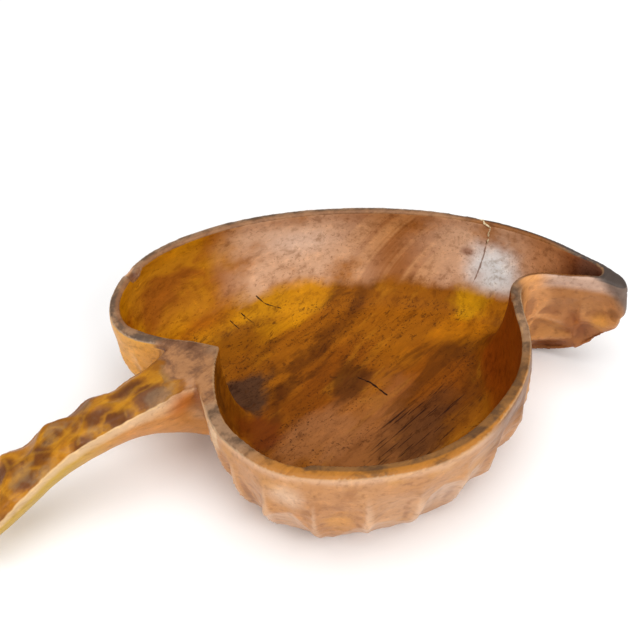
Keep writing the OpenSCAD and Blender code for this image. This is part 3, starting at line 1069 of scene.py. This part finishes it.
def rim_colour(g):
    """Grey-brown patina, amber along the front, slate at the left, dark brown to slate at the spout, and a
    painted highlight along the outer edge.
    """
    to_inner = g.mask("to_inner")
    spots = g.noise(8, (1, 1, 1), 5, 61, 0.2, 0.65)
    mottled = g.step(spots, 0.4, 0.62)
    colour = g.mix(mottled, patina(164, 128, 98), patina(110, 86, 68))
    front = g.mix(g.step(spots, 0.48, 0.66), shade(186, 122, 54, 1.12), shade(140, 94, 50, 1.12))
    wide = g.step(g.along, 0.352, 0.799, 2.5, 3.4)
    ledge = g.step(to_inner, wide, g.math("SUBTRACT", wide, 0.6))
    ledge = g.meet(ledge, g.step(g.x, LEDGE_START - 1.2, LEDGE_START + 0.8))
    ledge_wood = g.mix(mottled, shade(140, 98, 58, 1.1), shade(104, 76, 54, 1.1))
    front = g.paint(front, ledge_wood, ledge, 0.9)
    colour = g.paint(colour, front, g.step(g.across, 0.268, 0.146), 0.95)
    slate = g.meet(g.step(g.along, 0.09, 0.043), mottled)
    colour = g.paint(colour, patina(102, 84, 72), slate, 0.8)
    colour = g.paint(colour, patina(76, 54, 38), g.step(g.past_spout, 1.5, 17.5), 0.85)
    colour = g.paint(colour, patina(88, 78, 73), g.step(g.past_spout, 23.5, 33.5), 0.95)
    worn = g.meet(g.step(to_inner, 1.3, 0.5), g.step(g.across, 0.17, 0.292), g.step(spots, 0.62, 0.4))
    colour = g.paint(colour, patina(196, 146, 94), worn, 0.5)
    far_edge = g.meet(g.step(to_inner, 2.6, 1.2), g.step(g.across, 0.657, 0.779))
    colour = g.paint(colour, patina(164, 112, 74), far_edge, 0.6)
    at_spout = g.meet(g.step(g.past_spout, -0.5, 11.5), g.step(g.past_spout, 33.5, 27.5))
    at_spout = g.meet(at_spout, g.step(to_inner, 2.4, 1.2))
    colour = g.paint(colour, patina(148, 90, 42), at_spout, 0.8)
    for along, across, _, reach in EDGE_CHIPS[:2]:      # the third is too shallow to show
        chip = g.blob(bowl_place(along, across, RIM_Z - 1), (reach, reach, reach), 0.3)
        colour = g.paint(colour, patina(132, 78, 34), chip, 0.7)
    # painted highlight: a pale line along the rim's rounded outer edge
    outer_edge = g.step(g.mask("to_outer"), 1.0, 0.3)
    return g.paint(colour, patina(216, 184, 148), outer_edge, g.step(g.past_spout, 17.5, -0.5, 0.0, 0.5))


def glue():
    """Old cream glue, with dirt in it."""
    g = Graph("glue")
    colour = g.mix(g.step(g.noise(1.2, seed=81), 0.4, 0.65), shade(224, 206, 170), shade(176, 146, 104))
    g.set("Base Color", colour)
    g.set("Roughness", 0.45)
    return g.material


# ---- studio ----------------------------------------------
VIEW_TARGET = Vector(bowl_place(0.4418, 0.5353, RIM_Z)) * MM
VIEW_AZIMUTH = -118             # degrees
VIEW_ELEVATION = 42
VIEW_DISTANCE = 520.1 * MM
LENS = 73.1                     # on a sensor 36 mm wide
FLOOR_REACH = 40.0              # metres, so that it ends at the horizon in low views


def direction(azimuth, elevation):
    """The way to a place in the sky, given in degrees."""
    azimuth, elevation = math.radians(azimuth), math.radians(elevation)
    flat = math.cos(elevation)
    return Vector((math.cos(azimuth) * flat, math.sin(azimuth) * flat, math.sin(elevation)))


def add_camera():
    """Looks down on the bowl from the near left."""
    data = bpy.data.cameras.new("camera")
    data.sensor_width = 36
    data.lens = LENS
    camera = add_object("camera", data)
    camera.location = VIEW_TARGET + VIEW_DISTANCE * direction(VIEW_AZIMUTH, VIEW_ELEVATION)
    camera.rotation_euler = (VIEW_TARGET - camera.location).to_track_quat("-Z", "Y").to_euler()
    bpy.context.scene.camera = camera


def add_softbox(name, azimuth, elevation, size, power):
    """A round soft light that faces the bowl from one metre away."""
    data = bpy.data.lights.new(name, "AREA")
    data.shape = "DISK"
    data.size = size
    data.energy = power
    light = add_object(name, data)
    light.location = VIEW_TARGET + direction(azimuth, elevation)
    light.rotation_euler = (VIEW_TARGET - light.location).to_track_quat("-Z", "Y").to_euler()


def add_studio():
    """A pale room: even light all round, two softboxes, a soft light from above and a paper floor."""
    world = bpy.data.worlds.new("studio")
    world.use_nodes = True
    background = world.node_tree.nodes["Background"]
    background.inputs["Color"].default_value = (1, 1, 1, 1)
    background.inputs["Strength"].default_value = 0.38
    bpy.context.scene.world = world
    bpy.context.scene.view_settings.view_transform = "Standard"
    add_softbox("front_softbox", azimuth=-86, elevation=38, size=0.55, power=4)
    add_softbox("left_softbox", azimuth=205, elevation=24, size=0.5, power=2.4)
    sky = bpy.data.lights.new("overhead_light", "SUN")
    sky.energy = 1.7
    sky.angle = math.radians(60)
    add_object("overhead_light", sky)
    data = bpy.data.meshes.new("floor")
    corners = [(x * FLOOR_REACH, y * FLOOR_REACH, 0) for x, y in ((-1, -1), (1, -1), (1, 1), (-1, 1))]
    data.from_pydata(corners, [], [(0, 1, 2, 3)])
    floor = add_object("floor", data)
    floor.location.z = cad_low.z - 0.0002
    g = Graph("paper")
    g.set("Base Color", (0.97, 0.97, 0.97, 1))
    g.set("Roughness", 0.9)
    data.materials.append(g.material)


def mark_mesh(skin):
    """Keeps each point's normal for the pieces, and gives the hollow's faces the second material."""
    whole = skin.mesh.attributes.new("whole_normal", "FLOAT_VECTOR", "POINT")
    whole.data.foreach_set("vector", skin.normals.astype(np.float32).ravel())
    in_hollow = skin.hollow[skin.first_corners]
    skin.mesh.polygons.foreach_set("material_index", in_hollow.astype(np.int32))


skin = Skin(joined_blank())
mark_regions(skin)
carve(skin)
bevel_front(skin)
chip_edges(skin)
round_rim(skin)
measure(skin)
mark_mesh(skin)
bowl_mesh, spout_mesh, handle_mesh = part_skin(skin)
outer, hollow = outer_wood(), hollow_wood()
add_piece("carved_bowl", bowl_mesh, "bowl", "bowl_wood", outer, hollow)
add_piece("carved_spout", spout_mesh, "spout", "spout_wood", outer, hollow)
add_piece("carved_handle", handle_mesh, "handle", "handle_wood", outer, hollow)
add_piece("glue_bead", glue_bead(skin), "split_filler", "filler", glue())
add_camera()
add_studio()
